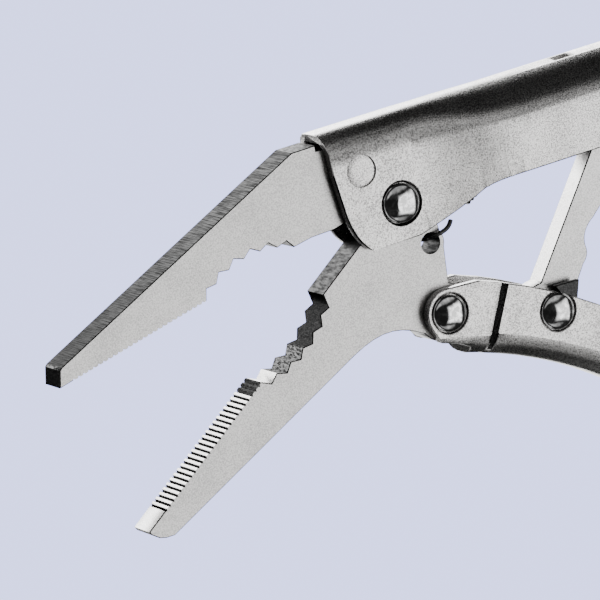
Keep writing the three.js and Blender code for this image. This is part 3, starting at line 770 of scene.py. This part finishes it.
# %% Coil
WIRE = 0.8
COIL_RADIUS = 2.4
TURN_GAP = 0.02
HOOK_REACH, HOOK_GAP = 1.6, 0.1
hook_end = (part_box("tension_spring")[1] - JAW_PIVOT) / MM
high_hook = hook_end.y - WIRE / 2 - HOOK_GAP
tongue = hook_end.x - WIRE / 2 - HOOK_REACH
front = Vector((13.3, -3.0, 0))
back = Vector((tongue - 6.0, high_hook - 2.6, 0))
coil_line = back - front
coil_turns = int(coil_line.length / (WIRE + TURN_GAP)) - 1
bpy.ops.mesh.primitive_circle_add(
    vertices=8, radius=WIRE / 2 * MM, location=((COIL_RADIUS - WIRE / 2) * MM, 0, 0),
    rotation=(math.pi / 2, 0, 0))
coil = bpy.context.object
bpy.ops.object.transform_apply(location=True, rotation=True, scale=True)
modifier(coil, "SCREW", angle=2 * math.pi, screw_offset=coil_line.length / coil_turns * MM,
         iterations=coil_turns, steps=24, render_steps=24, axis="Z",
         use_merge_vertices=False)
pick(coil, "EDGE", lambda edge: False)
bpy.ops.mesh.select_non_manifold()
bpy.ops.mesh.edge_face_add()
bpy.ops.object.mode_set(mode="OBJECT")
outward(coil)
coil.rotation_euler = coil_line.to_track_quat("Z", "Y").to_euler()
coil.location = place(*front)
settle(coil, 60)
print("coil of", coil_turns, "turns over", round(coil_line.length, 1), "mm")

# %% [markdown]
# Each hook is a wire bent through a few points, which a curve does best: it stays round
# and of one thickness. The front hook passes round the jaw and through its eye, and the
# back one hangs in the tongue.

# %% Hooks
def bent_wire(points):
    curve = bpy.data.curves.new("hook", "CURVE")
    curve.dimensions = "3D"
    curve.bevel_depth = WIRE / 2 * MM
    curve.bevel_resolution = 3
    curve.use_fill_caps = True
    line = curve.splines.new("NURBS")
    line.points.add(len(points) - 1)
    for corner, point in zip(line.points, points):
        corner.co = (*place(*point), 1)
    line.order_u = 4
    line.use_endpoint_u = True
    line.resolution_u = 5
    piece = bpy.data.objects.new("hook", curve)
    bpy.context.scene.collection.objects.link(piece)
    activate(piece)
    bpy.ops.object.convert(target="MESH")
    return bpy.context.object


jaw_low, jaw_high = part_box("fixed_jaw")
beside = (jaw_high.z - jaw_low.z) / 2 / MM + WIRE
front_hook = bent_wire([
    (14.2, -2.4, -1.9), (12.6, -3.6, -2.3), (10.4, -5.1, -2.9), (7.4, -7.2, -beside),
    (5.6, -8.2, 0.3 - beside), (4.6, -8.3, -1.8), (4.2, -8.1, 0.6),
    (4.2, -7.7, beside - 0.9), (5.2, -7.4, beside), (7.0, -7.2, beside + 0.2),
    (8.6, -6.6, beside - 0.1), (9.2, -5.8, beside - 0.5)])
back_hook = bent_wire([
    (tongue - 7.2, high_hook - 4.9, 0), (tongue - 5.6, high_hook - 2.0, 0),
    (tongue - 3.6, high_hook, 0), (tongue - 1.6, high_hook + 0.3, 0),
    (tongue + 0.8, high_hook + 0.3, 0), (tongue + HOOK_REACH, high_hook - 0.8, 0)])
spring = join("return_spring", coil, front_hook, back_hook)
settle(spring, 60)
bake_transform(spring)
spring.data.materials.append(materials["spring_black"])
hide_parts("tension_spring")
print("spring with", len(spring.data.polygons), "faces")

# %% [markdown]
# ## Studio
# Polished metal shows its surroundings and little else, so the light is planned as
# what the steel should mirror, direction by direction, in the world's own shader. That
# needs no lamps. A bright table below shines in the walls and the ridge, and a window
# high up lights the flat faces. One corner of the table is left dark, for the edges
# that are dark. Strips level with the tool and a weak light overhead serve other views.

# %% Surroundings
world = bpy.data.worlds.new("studio")
bpy.context.scene.world = world
recipe = Recipe(world)
direction = recipe.node("ShaderNodeTexCoord", None, None, "Generated")
east, north, up = (
    recipe.node("ShaderNodeSeparateXYZ", None, {"Vector": direction}, axis) for axis in "XYZ")
across = east * 0.79 + up * -0.61
window = (recipe.between(across, -0.48, -0.30) * recipe.between(across, 0.44, 0.34)
          * recipe.between(north, -0.66, -0.50) * recipe.between(north, 0.26, 0.06)
          * recipe.between(up, 0.10, 0.30))
table = recipe.between(up, -0.66, -0.78) * (recipe.between(north, -0.15, 0.50) * 0.7 + 0.3)
front_corner = recipe.between(north, 0.12, -0.12) * recipe.between(east, 0.25, -0.05)
level = recipe.between(up, -0.50, -0.30) * recipe.between(up, 0.30, 0.10)
sides = (recipe.between(east, -0.02, -0.30) + recipe.between(east, 0.82, 0.94)) * level
above = ((recipe.between(north, 0.30, 0.45) + recipe.between(north, -0.66, -0.74))
         * recipe.between(up, 0.45, 0.65))
TABLE, WINDOW, SIDES, ABOVE, DIM = 12.0, 3.4, 1.1, 0.8, 0.03
light = ((1 - front_corner) * table * TABLE + window * WINDOW + sides * SIDES
         + above * ABOVE + DIM)
background = recipe.node("ShaderNodeBackground", None, {
    "Color": (1.0, 1.0, 1.0, 1.0), "Strength": light})
recipe.node("ShaderNodeOutputWorld", None, {"Surface": background})
print("world of", len(recipe.tree.nodes), "nodes")

# %% [markdown]
# The floor and the backdrop are one pale blue glow, so the tool seems to lie on nothing.
# Only the camera sees them, and only from inside: a plain colour that is neither lit nor
# mirrored can't spoil the light that was planned above.

# %% Floor and backdrop
FLOOR = (1.52, 1.64, 2.80)
recipe = recipe_for("pale_floor")
glow = recipe.node("ShaderNodeEmission", None, {"Color": (*FLOOR, 1), "Strength": 1.0})
clear = recipe.node("ShaderNodeBsdfTransparent")
behind = recipe.node("ShaderNodeNewGeometry", None, None, "Backfacing")
recipe.node("ShaderNodeOutputMaterial", None, {"Surface": recipe.node(
    "ShaderNodeMixShader", None, {0: behind, 1: glow, 2: clear})})
bpy.ops.mesh.primitive_plane_add(size=8, location=(0, 0, -0.2 * MM))
floor = bpy.context.object
floor.name = "floor"
bpy.ops.mesh.primitive_uv_sphere_add(radius=3.9, segments=48, ring_count=24)
backdrop = bpy.context.object
backdrop.name = "backdrop"
pick(backdrop, "FACE", everything)
bpy.ops.mesh.flip_normals()
bpy.ops.object.mode_set(mode="OBJECT")
for stage in (floor, backdrop):
    stage.data.materials.append(materials["pale_floor"])
    stage.visible_diffuse = False
    stage.visible_glossy = False
    stage.visible_transmission = False
    stage.visible_volume_scatter = False
    stage.visible_shadow = False
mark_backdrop(floor, backdrop)
print("floor and backdrop are seen by the camera alone")

# %% Sizes
shown_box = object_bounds()
for name, ends in (("packed", cad_box), ("shown", shown_box)):
    print(name, [round((ends[1][axis] - ends[0][axis]) / MM, 2) for axis in range(3)], "mm")
